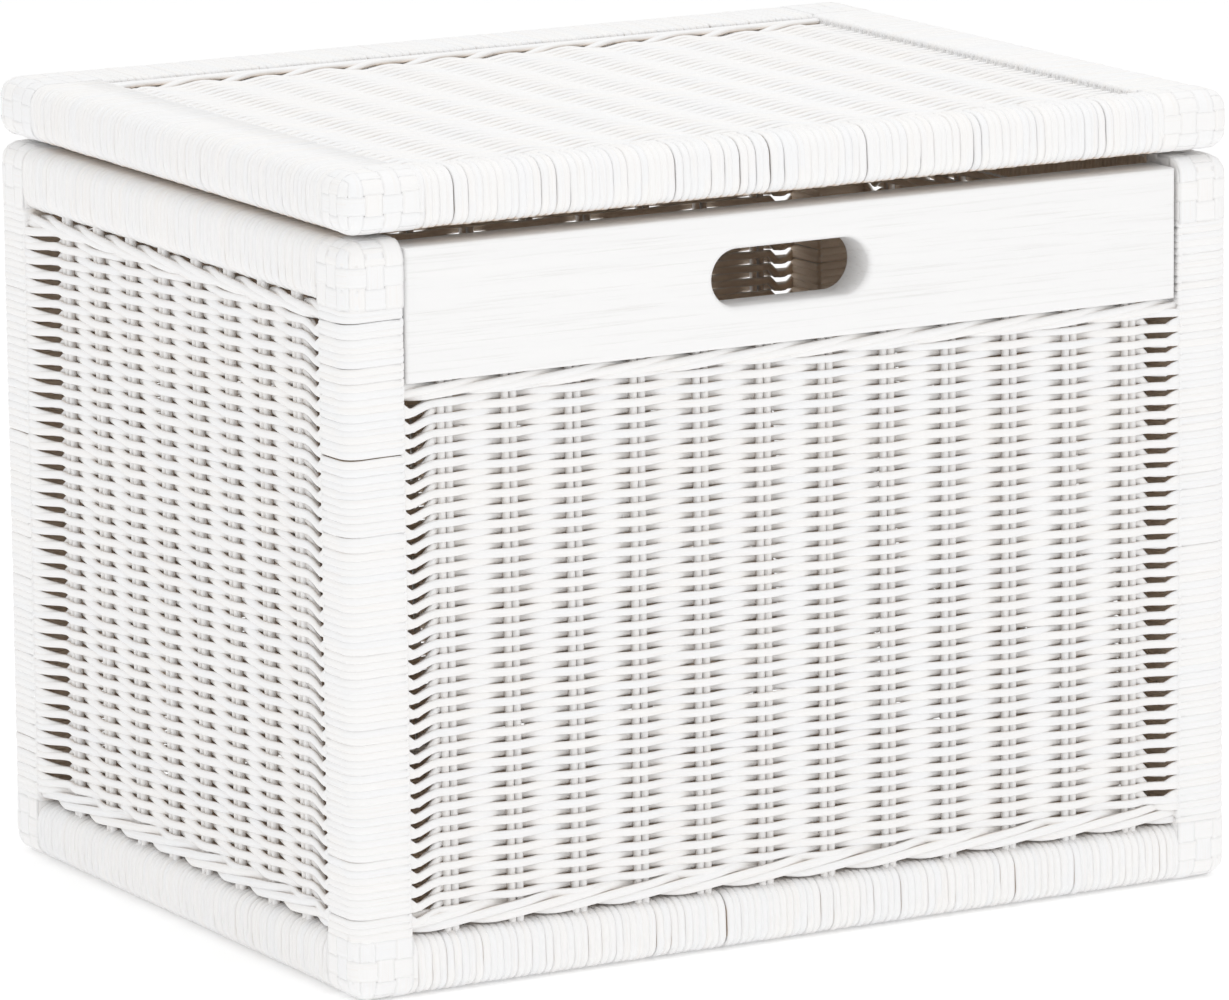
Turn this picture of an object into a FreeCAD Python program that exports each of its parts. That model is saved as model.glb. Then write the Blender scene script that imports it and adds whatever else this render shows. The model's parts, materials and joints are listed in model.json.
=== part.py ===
"""Wicker storage trunk: a wooden frame wrapped in rattan, woven side panels on pairs of canes, a
front board with a hand slot, and a woven lid on two butt hinges at the back.

+X runs along the width, +Y points to the back and +Z up. The origin is the centre of the
footprint, on the surface that the trunk stands on. Every size is in millimetres.
"""

import FreeCAD, Part  # noqa: E401
import os

DIMENSIONS = {
    # outside of the trunk
    "trunk_width": 600,
    "trunk_depth": 460,
    "body_height": 444.5,
    "lid_gap": 3,
    "lid_height": 36.5,
    # wrapped frame: outside sizes, and the rattan over the wood
    "post_size": 38,
    "top_rail_height": 40,
    "bottom_rail_height": 36,
    "wrap_thickness": 4,
    "cap_height": 38,
    "cap_thickness": 6,
    "wrap_radius": 12,
    "core_radius": 8,
    "soft_radius": 4,
    # front board and its hand slot
    "board_height": 79,
    "board_drop": 5.5,
    "board_thickness": 30,
    "board_setback": 2,
    "slot_length": 106,
    "slot_height": 34,
    "slot_drop": 38,
    "slot_shift": 5,
    # woven panels
    "weave_thickness": 14,
    "weave_setback": 3,
    "lower_band": 14,
    "upper_band": 11,
    "cane_diameter": 5.5,
    "cane_spacing": 5.7,
    "cane_play": 0.1,
    "cane_insertion": 12,
    "wide_pitch": 42.2,
    "deep_pitch": 42.9,
    # floor
    "floor_underside": 12,
    "batten_width": 30,
    "batten_spacing": 220,
    "batten_lift": 2,
    # lid
    "lid_side_rail": 50,
    "lid_front_rail": 24,
    "lid_back_rail": 52,
    "lid_front_cap": 30,
    "lid_weave_drop": 1,
    "lid_band": 12,
    # dowels
    "dowel_diameter": 8,
    "dowel_length": 40,
    "dowel_offset": 7,
    "board_dowel_pitch": 61,
    "lid_dowel_lead": 12,
    # hinges
    "hinge_spacing": 340,
    "hinge_length": 50,
    "axis_inset": 6,
    "knuckle_radius": 2.4,
    "knuckle_gap": 0.3,
    "pin_radius": 1.2,
    "pin_play": 0.05,
    "leaf_thickness": 1.2,
    "leaf_depth": 27,
    "screw_setback": 15,
    "screw_pitch": 17,
    "screw_radius": 1.6,
    "screw_head": 3,
    "screw_length": 16,
    "screw_play": 0.1,
}
WIDE_PAIRS = 12  # pairs of canes along the width: front, back, lid and floor
DEEP_PAIRS = 8  # pairs of canes along each side
KNUCKLES = 5
SCREWS_PER_LEAF = 3
BATTENS = 2
SIGNS = {"front": -1, "back": 1, "left": -1, "right": 1}
WALLS = ("front", "back", "left", "right")
CORNERS = [(end, side) for end in ("front", "back") for side in ("left", "right")]

doc = FreeCAD.newDocument("wicker_trunk")
sheet = doc.addObject("Spreadsheet::Sheet", "dims")
for row, (alias, value) in enumerate(DIMENSIONS.items(), start=1):
    sheet.set(f"A{row}", alias)
    sheet.set(f"B{row}", str(value))
    sheet.setAlias(f"B{row}", alias)
doc.recompute()


# --- expressions on the sheet -------------------------------------------------------------------


def dim(text):
    """'trunk_width / 2' as an expression that reads the sheet."""
    words = [f"dims.{word}" if word in DIMENSIONS else word for word in text.split()]
    return "(" + " ".join(words) + ")"


def minus(a, b):
    return f"({a} - {b})"


def plus(a, b):
    return f"({a} + {b})"


def times(number, a):
    return f"({number} * {a})"


def middle(a, b):
    return f"(({a} + {b}) / 2)"


def span(sign, inner, outer):
    """(low, high) of a stretch between two distances from the centre plane, on its sign side."""
    return (inner, outer) if sign > 0 else (times(-1, outer), times(-1, inner))


def centred(half):
    return span(-1, times(-1, half), half)


HALF_WIDTH = dim("trunk_width / 2")
HALF_DEPTH = dim("trunk_depth / 2")
POST = dim("post_size")
WRAP = dim("wrap_thickness")
CORE = dim("post_size - wrap_thickness")
CAP = dim("cap_thickness")
RIM = dim("body_height")
RIM_UNDERSIDE = dim("body_height - top_rail_height")
SILL = dim("bottom_rail_height")
BOARD_TOP = dim("body_height - board_drop")
BOARD_UNDERSIDE = dim("body_height - board_drop - board_height")
FLOOR_TOP = dim("floor_underside + weave_thickness")
LID_UNDERSIDE = dim("body_height + lid_gap")
LID_TOP = dim("body_height + lid_gap + lid_height")
WEAVE_NEAR = dim("weave_setback")
WEAVE_FAR = dim("weave_setback + weave_thickness")
WEAVE_MIDDLE = dim("weave_setback + weave_thickness / 2")
NOTHING = "0"


# --- shapes bound to the sheet --------------------------------------------------------------------


def place(item, x, y, z):
    for axis, expression in zip("xyz", (x, y, z)):
        item.setExpression(f"Placement.Base.{axis}", expression)
    return item


def block(name, x, y, z):
    """A box between three (low, high) pairs of expressions."""
    item = doc.addObject("Part::Box", name)
    for side, (low, high) in zip(("Length", "Width", "Height"), (x, y, z)):
        item.setExpression(side, minus(high, low))
    return place(item, x[0], y[0], z[0])


TURNS = {
    "x": FreeCAD.Rotation(FreeCAD.Vector(0, 1, 0), 90),
    "y": FreeCAD.Rotation(FreeCAD.Vector(1, 0, 0), -90),
    "z": FreeCAD.Rotation(),
}


def rod(name, axis, radius, length, x, y, z):
    """A cylinder along +X, +Y or +Z from the point x, y, z."""
    item = doc.addObject("Part::Cylinder", name)
    item.setExpression("Radius", radius)
    item.setExpression("Height", length)
    item.Placement = FreeCAD.Placement(FreeCAD.Vector(), TURNS[axis])
    return place(item, x, y, z)


def cone(name, low_radius, high_radius, length, x, y, z):
    item = doc.addObject("Part::Cone", name)
    item.setExpression("Radius1", low_radius)
    item.setExpression("Radius2", high_radius)
    item.setExpression("Height", length)
    return place(item, x, y, z)


def group(name, items):
    item = doc.addObject("Part::Compound", name)
    item.Links = items
    return item


def fuse(name, items):
    item = doc.addObject("Part::MultiFuse", name)
    item.Shapes = items
    return item


def cut(name, base, tools):
    """base with every tool taken out of it."""
    for tool in tools:
        step = doc.addObject("Part::Cut", name + "_cut")
        step.Base, step.Tool = base, tool
        base = step
    return base


def rounded(base, radii):
    """Rounds edges of a block. radii maps an edge's place to the alias of its radius: (0, -1, 1) is
    the edge along X at low Y and high Z, where 0 marks the edge's own direction."""
    doc.recompute()
    centre = base.Shape.BoundBox.Center
    edges = []
    for number, edge in enumerate(base.Shape.Edges, start=1):
        offset = edge.CenterOfMass - centre
        spot = tuple(round(v / abs(v)) if abs(v) > 1e-6 else 0 for v in offset)
        if spot in radii:
            radius = float(sheet.get(radii[spot]))
            edges.append((number, radius, radius))
    item = doc.addObject("Part::Fillet", base.Name + "_rounded")
    item.Base = base
    item.Edges = edges
    return item


nodes = []


def node(label, item):
    """Marks a finished sub-part. Its label names its file."""
    item.Label = label
    if item.Label != label:
        raise RuntimeError(f"the label {label} is taken twice")
    nodes.append(item)


def wall_block(name, wall, near, far, z, stop=POST):
    """A box along one wall. near and far are depths in from the wall's outside plane, and stop is how
    far each end stays inside the outside planes of the walls next to it."""
    if wall in ("front", "back"):
        y = span(SIGNS[wall], minus(HALF_DEPTH, far), minus(HALF_DEPTH, near))
        return block(name, centred(minus(HALF_WIDTH, stop)), y, z)
    x = span(SIGNS[wall], minus(HALF_WIDTH, far), minus(HALF_WIDTH, near))
    return block(name, x, centred(minus(HALF_DEPTH, stop)), z)


def corner_block(name, corner, near, far, z, far_y=None):
    """A box at one corner between two depths in from both outside planes."""
    end, side = corner
    x = span(SIGNS[side], minus(HALF_WIDTH, far), minus(HALF_WIDTH, near))
    y = span(SIGNS[end], minus(HALF_DEPTH, far_y or far), minus(HALF_DEPTH, near))
    return block(name, x, y, z)


def long_edges(wall, radius, outer_only=False):
    """The edges along a wall's rail, for rounded()."""
    signs = (SIGNS[wall],) if outer_only else (-1, 1)
    across = [(0, s) if wall in ("front", "back") else (s, 0) for s in signs]
    return {(*pair, level): radius for pair in across for level in (-1, 1)}


def corner_edges(corner, radius, levels):
    """The outer upright edge of a corner, and its two outer edges at each level."""
    end, side = (SIGNS[name] for name in corner)
    edges = {(side, end, 0): radius}
    for level in levels:
        edges[0, end, level] = radius
        edges[side, 0, level] = radius
    return edges


# --- pairs of canes, and the mortises and channels they run in --------------------------------------


def cane_pairs(name, axis, count, pitch, low, high, across, level_axis, level):
    """(canes, channels): pairs of canes along axis from low to high, stepping along across, at one
    level on the third axis; and the room for each pair, which is cut out of what they pass."""
    canes, channels = [], []
    play = dim("cane_play")
    half_deep = dim("cane_diameter / 2 + cane_play")
    half_wide = dim("cane_diameter / 2 + cane_spacing / 2 + cane_play")
    for pair in range(count):
        step = times(pair - (count - 1) / 2, dim(pitch))
        for side in (-0.5, 0.5):
            spot = {axis: low, level_axis: level}
            spot[across] = plus(step, times(side, dim("cane_spacing")))
            canes.append(rod("cane", axis, dim("cane_diameter / 2"), minus(high, low), **spot))
        room = {
            axis: (minus(low, play), plus(high, play)),
            across: (minus(step, half_wide), plus(step, half_wide)),
            level_axis: (minus(level, half_deep), plus(level, half_deep)),
        }
        channels.append(block("channel", **room))
    return group(name, canes), group(name + "_room", channels)


INSERTION = dim("cane_insertion")
panels = {}
for wall in WALLS:
    top = BOARD_UNDERSIDE if wall == "front" else RIM_UNDERSIDE
    wide = wall in ("front", "back")
    outside = HALF_DEPTH if wide else HALF_WIDTH
    canes, room = cane_pairs(
        "stakes_" + wall,
        "z",
        WIDE_PAIRS if wide else DEEP_PAIRS,
        "wide_pitch" if wide else "deep_pitch",
        minus(SILL, INSERTION),
        plus(top, INSERTION),
        "x" if wide else "y",
        "y" if wide else "x",
        times(SIGNS[wall], minus(outside, WEAVE_MIDDLE)),
    )
    panels[wall] = {"top": top, "canes": canes, "room": room}

# the floor's canes run front to back, between the bottom rails
floor_reach = minus(HALF_DEPTH, minus(POST, INSERTION))
floor_canes, floor_room = cane_pairs(
    "floor_stakes", "y", WIDE_PAIRS, "wide_pitch", times(-1, floor_reach), floor_reach,
    "x", "z", middle(dim("floor_underside"), FLOOR_TOP),
)  # fmt: skip


# --- posts and rails -------------------------------------------------------------------------------

posts = {}
for corner in CORNERS:
    name = "_".join(corner)
    edges = corner_edges(corner, "core_radius", ())
    core = corner_block(f"post_{name}_wood", corner, WRAP, CORE, (CAP, minus(RIM, CAP)))
    posts[corner] = rounded(core, edges)
    node(f"post_{name}", posts[corner])
    skin = corner_block(
        f"post_wrap_{name}_skin", corner, NOTHING, POST, (dim("cap_height"), RIM_UNDERSIDE)
    )
    end, side = (SIGNS[word] for word in corner)
    edges = {(side, end, 0): "wrap_radius", (-side, end, 0): "soft_radius"}
    edges[side, -end, 0] = "soft_radius"
    node(f"post_wrap_{name}", cut(f"post_wrap_{name}", rounded(skin, edges), [posts[corner]]))


def rail(prefix, wall, low, high, rooms):
    """A wooden rail between two posts, and the rattan wound round it. Returns the wood."""
    wood = wall_block(
        f"{prefix}_{wall}_wood", wall, WRAP, CORE, (plus(low, WRAP), minus(high, WRAP)), CORE
    )
    wood = rounded(wood, long_edges(wall, "core_radius"))
    skin = wall_block(f"{prefix}_wrap_{wall}_skin", wall, NOTHING, POST, (low, high))
    skin = rounded(skin, long_edges(wall, "wrap_radius", outer_only=True))
    node(f"{prefix}_{wall}", cut(f"{prefix}_{wall}", wood, rooms))
    node(f"{prefix}_wrap_{wall}", cut(f"{prefix}_wrap_{wall}", skin, [wood, *rooms]))
    return wood


bottom_rails, top_rails = {}, {}
for wall in WALLS:
    rooms = [panels[wall]["room"]]
    if wall in ("front", "back"):
        rooms.append(floor_room)
    bottom_rails[wall] = rail("bottom_rail", wall, NOTHING, SILL, rooms)
    if wall != "front":
        top_rails[wall] = rail("top_rail", wall, RIM_UNDERSIDE, RIM, [panels[wall]["room"]])


def corner_caps(label, z, rails, level):
    """Woven caps over the four posts, where the rails meet them."""
    caps = []
    for corner in CORNERS:
        cap = corner_block(f"{label}_cap", corner, NOTHING, POST, z)
        cap = rounded(cap, corner_edges(corner, "wrap_radius", (level,)))
        meeting = [rails[wall] for wall in corner if wall in rails]
        caps.append(cut(f"{label}_cap", cap, [posts[corner], *meeting]))
    node(label, group(label, caps))


corner_caps("bottom_corner_caps", (NOTHING, dim("cap_height")), bottom_rails, -1)
corner_caps("top_corner_caps", (RIM_UNDERSIDE, RIM), top_rails, 1)


# --- woven panels ------------------------------------------------------------------------------------

for wall, panel in panels.items():
    low = plus(SILL, dim("lower_band"))
    high = minus(panel["top"], dim("upper_band"))
    levels = {"weave": (low, high), "lower": (SILL, low), "upper": (high, panel["top"])}
    parts = {}
    for name, z in levels.items():
        slab = wall_block(f"{name}_{wall}_slab", wall, WEAVE_NEAR, WEAVE_FAR, z)
        parts[name] = cut(f"{name}_{wall}", slab, [panel["room"]])
    node(f"stakes_{wall}", panel["canes"])
    node(f"weave_{wall}", parts["weave"])
    node(f"twined_bands_{wall}", group(f"bands_{wall}", [parts["lower"], parts["upper"]]))


# --- front board with the hand slot -------------------------------------------------------------------


def front_board():
    near, far = dim("board_setback"), dim("board_setback + board_thickness")
    board = wall_block("board_blank", "front", near, far, (BOARD_UNDERSIDE, BOARD_TOP))
    board = rounded(board, {(0, -1, level): "board_setback" for level in (-1, 1)})
    radius = dim("slot_height / 2")
    level = minus(BOARD_TOP, dim("slot_drop"))
    straight = dim("slot_length / 2 - slot_height / 2")
    centre = times(-1, dim("slot_shift"))
    reach = (times(-1, HALF_DEPTH), minus(dim("post_size"), HALF_DEPTH))
    ends = [
        rod("slot_end", "y", radius, minus(reach[1], reach[0]), edge, reach[0], level)
        for edge in (minus(centre, straight), plus(centre, straight))
    ]
    x = (minus(centre, straight), plus(centre, straight))
    z = (minus(level, radius), plus(level, radius))
    slot = fuse("hand_slot", [*ends, block("slot_middle", x, reach, z)])
    node("front_board", cut("front_board", board, [slot, panels["front"]["room"]]))


front_board()


# --- floor --------------------------------------------------------------------------------------------


def floor():
    inner_x, inner_y = centred(minus(HALF_WIDTH, POST)), centred(minus(HALF_DEPTH, POST))
    slab = block("floor_slab", inner_x, inner_y, (dim("floor_underside"), FLOOR_TOP))
    node("floor_weave", cut("floor_weave", slab, [floor_room]))
    node("floor_stakes", floor_canes)
    battens = []
    for number in range(BATTENS):
        middle_x = times(number - (BATTENS - 1) / 2, dim("batten_spacing"))
        half = dim("batten_width / 2")
        x = (minus(middle_x, half), plus(middle_x, half))
        z = (dim("batten_lift"), dim("floor_underside"))
        battens.append(block("batten", x, inner_y, z))
    node("floor_battens", group("floor_battens", battens))


floor()


# --- dowels in the frame ------------------------------------------------------------------------------

DOWEL = dim("dowel_diameter / 2")
DOWEL_LENGTH = dim("dowel_length")
POST_MIDDLE = dim("post_size / 2")


def dowel(axis, sign, joint, x=None, y=None, z=None):
    """A dowel along X or Y, half of it on each side of the joint plane."""
    start = minus(times(sign, joint), dim("dowel_length / 2"))
    spot = {"x": x, "y": y, "z": z, axis: start}
    return rod("dowel", axis, DOWEL, DOWEL_LENGTH, **spot)


def frame_dowels():
    pins = []
    levels = {"low": dim("bottom_rail_height / 2"), "high": minus(RIM, dim("top_rail_height / 2"))}
    for end, side in CORNERS:
        x = times(SIGNS[side], minus(HALF_WIDTH, POST_MIDDLE))
        y = times(SIGNS[end], minus(HALF_DEPTH, POST_MIDDLE))
        for height, level in levels.items():
            low, high = (f(level, dim("dowel_offset")) for f in (minus, plus))
            pins.append(dowel("y", SIGNS[end], minus(HALF_DEPTH, CORE), x=x, z=low))
            if (height, end) != ("high", "front"):
                pins.append(dowel("x", SIGNS[side], minus(HALF_WIDTH, CORE), y=y, z=high))
    board_middle = minus(BOARD_TOP, dim("board_height / 2"))
    y = minus(dim("board_setback + board_thickness / 2"), HALF_DEPTH)
    for side in (-1, 1):
        for step in (-0.5, 0.5):
            z = plus(board_middle, times(step, dim("board_dowel_pitch")))
            pins.append(dowel("x", side, minus(HALF_WIDTH, POST), y=y, z=z))
    node("frame_dowels", group("frame_dowels", pins))


frame_dowels()


# --- lid ----------------------------------------------------------------------------------------------

LID_RAIL = {
    "front": dim("lid_front_rail"),
    "back": dim("lid_back_rail"),
    "left": dim("lid_side_rail"),
    "right": dim("lid_side_rail"),
}
LID_CAP = {"front": dim("lid_front_cap"), "back": dim("lid_back_rail")}
LID_Z = (LID_UNDERSIDE, LID_TOP)
LID_CORE_Z = (plus(LID_UNDERSIDE, WRAP), minus(LID_TOP, WRAP))


def lid_wood(wall):
    """The front and back rails run the whole width, and the side rails stand between them."""
    far = minus(LID_RAIL[wall], WRAP)
    edges = long_edges(wall, "core_radius", outer_only=True)
    if wall in ("front", "back"):
        wood = wall_block(f"lid_{wall}_wood", wall, WRAP, far, LID_CORE_Z, WRAP)
        edges.update({(side, SIGNS[wall], 0): "core_radius" for side in (-1, 1)})
    else:
        x = span(SIGNS[wall], minus(HALF_WIDTH, far), minus(HALF_WIDTH, WRAP))
        y = (
            minus(minus(LID_RAIL["front"], WRAP), HALF_DEPTH),
            minus(HALF_DEPTH, minus(LID_RAIL["back"], WRAP)),
        )
        wood = block(f"lid_{wall}_wood", x, y, LID_CORE_Z)
    return rounded(wood, edges)


def lid_skin(wall):
    """The wound rattan between the corner caps."""
    if wall in ("front", "back"):
        return wall_block(f"lid_{wall}_skin", wall, NOTHING, LID_RAIL[wall], LID_Z, LID_RAIL["left"])
    x = span(SIGNS[wall], minus(HALF_WIDTH, LID_RAIL[wall]), HALF_WIDTH)
    y = (minus(LID_CAP["front"], HALF_DEPTH), minus(HALF_DEPTH, LID_CAP["back"]))
    return block(f"lid_{wall}_skin", x, y, LID_Z)


def lid():
    front = minus(LID_RAIL["front"], HALF_DEPTH)
    back = minus(HALF_DEPTH, LID_RAIL["back"])
    top = minus(LID_TOP, dim("lid_weave_drop"))
    z = (minus(top, dim("weave_thickness")), top)
    canes, room = cane_pairs(
        "lid_stakes", "y", WIDE_PAIRS, "wide_pitch", minus(front, INSERTION),
        plus(back, INSERTION), "x", "z", middle(*z),
    )  # fmt: skip
    woods = {wall: lid_wood(wall) for wall in WALLS}
    for wall in WALLS:
        rooms = [room] if wall in ("front", "back") else []
        skin = rounded(lid_skin(wall), long_edges(wall, "wrap_radius", outer_only=True))
        node(f"lid_rail_{wall}", cut(f"lid_rail_{wall}", woods[wall], rooms))
        node(f"lid_rail_wrap_{wall}", cut(f"lid_rail_wrap_{wall}", skin, [woods[wall], *rooms]))
    caps = []
    for corner in CORNERS:
        end, side = corner
        cap = corner_block("lid_cap", corner, NOTHING, LID_RAIL[side], LID_Z, LID_CAP[end])
        cap = rounded(cap, corner_edges(corner, "wrap_radius", (-1, 1)))
        caps.append(cut("lid_cap", cap, [woods[end], woods[side]]))
    node("lid_corner_caps", group("lid_corner_caps", caps))

    x = centred(minus(HALF_WIDTH, LID_RAIL["left"]))
    inner_front, inner_back = plus(front, dim("lid_band")), minus(back, dim("lid_band"))
    slab = block("lid_slab", x, (inner_front, inner_back), z)
    node("lid_weave", cut("lid_weave", slab, [room]))
    bands = [
        cut("lid_band", block("lid_band_slab", x, y, z), [room])
        for y in ((front, inner_front), (inner_back, back))
    ]
    node("lid_twined_bands", group("lid_twined_bands", bands))
    node("lid_stakes", canes)

    pins = []
    rail_middle = middle(*LID_CORE_Z)
    back_joint = minus(HALF_DEPTH, minus(LID_RAIL["back"], WRAP))
    front_start = minus(minus(minus(LID_RAIL["front"], WRAP), HALF_DEPTH), dim("lid_dowel_lead"))
    for side in (-1, 1):
        x = times(side, minus(HALF_WIDTH, dim("lid_side_rail / 2")))
        pins.append(rod("dowel", "y", DOWEL, DOWEL_LENGTH, x, front_start, rail_middle))
        pins.append(dowel("y", 1, back_joint, x=x, z=rail_middle))
    node("lid_dowels", group("lid_dowels", pins))


lid()


# --- hinges -------------------------------------------------------------------------------------------

AXIS_Y = minus(HALF_DEPTH, dim("axis_inset"))
AXIS_Z = plus(RIM, dim("lid_gap / 2"))
HINGE_CENTRES = [times(step, dim("hinge_spacing")) for step in (-0.5, 0.5)]
SCREW_STEPS = [number - (SCREWS_PER_LEAF - 1) / 2 for number in range(SCREWS_PER_LEAF)]


def leaf(centre, z, first_knuckle, holes):
    """One leaf with every second knuckle, bored for the pin and countersunk for the screws."""
    left = minus(centre, dim("hinge_length / 2"))
    edge = minus(AXIS_Y, dim("knuckle_radius + knuckle_gap"))
    x = (left, plus(left, dim("hinge_length")))
    items = [block("leaf_plate", x, (minus(AXIS_Y, dim("leaf_depth")), edge), z)]
    step = dim(f"hinge_length / {KNUCKLES}")
    for number in range(first_knuckle, KNUCKLES, 2):
        start = plus(plus(left, times(number, step)), dim("knuckle_gap / 2"))
        length = minus(step, dim("knuckle_gap"))
        items.append(rod("knuckle", "x", dim("knuckle_radius"), length, start, AXIS_Y, AXIS_Z))
        items.append(block("knuckle_tab", (start, plus(start, length)), (edge, AXIS_Y), z))
    bore = rod("bore", "x", dim("pin_radius + pin_play"), dim("hinge_length"), left, AXIS_Y, AXIS_Z)
    return cut("leaf", fuse("leaf_blank", items), [bore, *holes])


def countersunk(name, x, z, points_up, play):
    """A countersunk head between the two levels of a leaf, wide at the side that shows."""
    narrow, wide = plus(dim("screw_radius"), play), plus(dim("screw_head"), play)
    radii = (wide, narrow) if points_up else (narrow, wide)
    y = minus(AXIS_Y, dim("screw_setback"))
    return cone(name, *radii, minus(z[1], z[0]), x, y, z[0])


def hinge_half(label, z, first_knuckle, points_up):
    leaves, screws = [], []
    for centre in HINGE_CENTRES:
        places = [plus(centre, times(step, dim("screw_pitch"))) for step in SCREW_STEPS]
        holes = [countersunk("hole", x, z, points_up, dim("screw_play")) for x in places]
        leaves.append(leaf(centre, z, first_knuckle, holes))
        for x in places:
            head = countersunk("screw_head", x, z, points_up, NOTHING)
            start = z[1] if points_up else minus(z[0], dim("screw_length"))
            y = minus(AXIS_Y, dim("screw_setback"))
            shank = rod("shank", "z", dim("screw_radius"), dim("screw_length"), x, y, start)
            screws.append(fuse("screw", [head, shank]))
    node(f"hinge_leaves_{label}", group(f"hinge_leaves_{label}", leaves))
    node(f"hinge_screws_{label}", group(f"hinge_screws_{label}", screws))


hinge_half("trunk", (RIM, plus(RIM, dim("leaf_thickness"))), 0, points_up=False)
hinge_half("lid", (minus(LID_UNDERSIDE, dim("leaf_thickness")), LID_UNDERSIDE), 1, points_up=True)
pins = [
    rod("hinge_pin", "x", dim("pin_radius"), dim("hinge_length"),
        minus(centre, dim("hinge_length / 2")), AXIS_Y, AXIS_Z)
    for centre in HINGE_CENTRES
]  # fmt: skip
node("hinge_pins", group("hinge_pins", pins))


# --- check and write ------------------------------------------------------------------------------------

doc.recompute()
for item in doc.Objects:
    if "Invalid" in item.State or "Error" in item.State:
        raise RuntimeError(f"{item.Name} failed to recompute: {item.State}")
for item in nodes:
    if item.Shape.isNull() or not item.Shape.isValid():
        raise RuntimeError(f"{item.Label} has no valid shape")

os.makedirs("parts", exist_ok=True)
for item in nodes:
    item.Shape.exportStep(f"parts/{item.Label}.step")
print(len(nodes), "sub-parts written")
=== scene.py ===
"""Looks of the wicker trunk: round cane woven on paired stakes, a frame wound with cane, woven
corner caps, twined bands, a painted front board, hinges, the floor, the light and the camera.

Lengths are in metres in the frame of the CAD model: +X is the width, +Y the back and +Z up.
"""

import json
import math

import bpy
import numpy as np
from mathutils import Matrix, Vector


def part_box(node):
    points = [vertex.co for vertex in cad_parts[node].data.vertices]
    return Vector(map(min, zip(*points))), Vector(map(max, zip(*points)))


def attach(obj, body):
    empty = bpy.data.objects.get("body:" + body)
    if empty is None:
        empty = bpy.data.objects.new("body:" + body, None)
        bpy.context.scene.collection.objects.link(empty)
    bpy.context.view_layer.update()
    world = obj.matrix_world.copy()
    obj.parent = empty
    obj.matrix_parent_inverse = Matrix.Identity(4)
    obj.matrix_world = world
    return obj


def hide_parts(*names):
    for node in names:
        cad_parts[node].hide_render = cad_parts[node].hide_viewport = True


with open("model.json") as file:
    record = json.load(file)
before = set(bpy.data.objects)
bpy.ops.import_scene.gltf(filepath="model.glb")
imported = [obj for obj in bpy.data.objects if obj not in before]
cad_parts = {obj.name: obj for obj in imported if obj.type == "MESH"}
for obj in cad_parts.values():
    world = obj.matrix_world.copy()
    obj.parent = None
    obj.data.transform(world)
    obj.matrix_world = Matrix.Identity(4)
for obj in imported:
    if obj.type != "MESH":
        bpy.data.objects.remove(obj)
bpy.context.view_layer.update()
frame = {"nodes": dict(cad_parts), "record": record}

MM = 0.001
RANDOM = np.random.default_rng(7)
TRUNK, LID = "trunk", "lid"
WALLS = ("front", "back", "left", "right")
CORNERS = [(end, side) for end in ("front", "back") for side in ("left", "right")]
SIGNS = {"front": -1, "back": 1, "left": -1, "right": 1}
AXES = np.eye(3)
X, Y, Z = AXES

# sections of cane: wide and thick are half its width and thickness. With a squareness below 1 a section
# is boxy, at 1 it is an ellipse, and above 1 it narrows to its edges
TUBE_SIDES = 8
WEAVER = {"wide": 2.55 * MM, "thick": 1.6 * MM, "squareness": 0.75}
WALER = {"wide": 2.6 * MM, "thick": 2.0 * MM, "squareness": 0.85}
PEEL = {"wide": 6 * MM, "thick": 0.55 * MM, "squareness": 0.5, "lift": 0.24 * MM}
STAKE_RADIUS = 2.45 * MM

# the woven panels
PAIRS = {"front": 12, "back": 12, "left": 8, "right": 8, "lid": 12, "floor": 12}
STAKE_SPACING = 5.2 * MM  # between the two stakes of a pair
ROW_PITCH = 4.4 * MM
WEAVE_SHARPNESS = 2.0  # above 1, a weaver lies flat between stakes and bends close to them
WEAVE_STEPS = 9  # points of a weaver from one pair of stakes to the next
WALE_STEPS = 14  # the same for a cane of a band
STAKE_STEPS = 24  # points of a stake
WALL_FLATNESS = 0.92
FLAT_PANEL = {"turn": 0.6, "flatness": 0.62}  # of lid and floor
FLAT_LAP = 2 * MM  # how far the canes of lid and floor run on into the rails
BAND_LAP = 2 * MM  # and those of the walls' bands past the ends of their bars
BAND_MARGIN = 0.3 * MM  # about how far a band's canes reach past the levels of its bar
BAND_TILT = 0.5 * MM  # how much further in a band's cane lies where it is highest
# which way the canes of the lower and the upper band of each wall rise along the wall's axis
BAND_LEANS = {"front": (1, 1), "left": (-1, 1), "right": (1, -1), "back": (1, 1)}

# what weavers do past the last stake, by their distance from it
PAIR_UP = (2 * MM, 9 * MM)  # they come to lie in front and behind, two by two
BULGE = {"at": 7.5 * MM, "spread": 2.5 * MM, "out": 2.2 * MM}  # the hinder one stays out a while
SINK = (8 * MM, 14 * MM)  # the hinder one goes down behind the one below it
SINK_ROWS = 1.15
CLIMB_START = 10 * MM  # both climb onto the post
CLIMB_END = 1 * MM  # they reach it this far past the post's edge
CLIMB_MARGIN = 2.5 * MM  # how far in from the post's face their middles end
DROP_START = 4 * MM  # both sink by their wall's END_DROPS
POST_LAP = 3 * MM  # how far they run on past the post's edge
# how far the rows sink to the low and the high end of each wall
END_DROPS = {
    "front": (4.0 * MM, 0),
    "left": (2.5 * MM, 3.0 * MM),
    "right": (1.0 * MM, 1.0 * MM),
    "back": (0.5 * MM, 2.0 * MM),
}
# how far past the last stake the paired canes start to part again, to lie side by side on a post
PARTING = {
    "front": (27 * MM, 24 * MM),
    "left": (38 * MM, 19 * MM),
    "right": (38 * MM, 19 * MM),
    "back": (24 * MM, 27 * MM),
}

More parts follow.
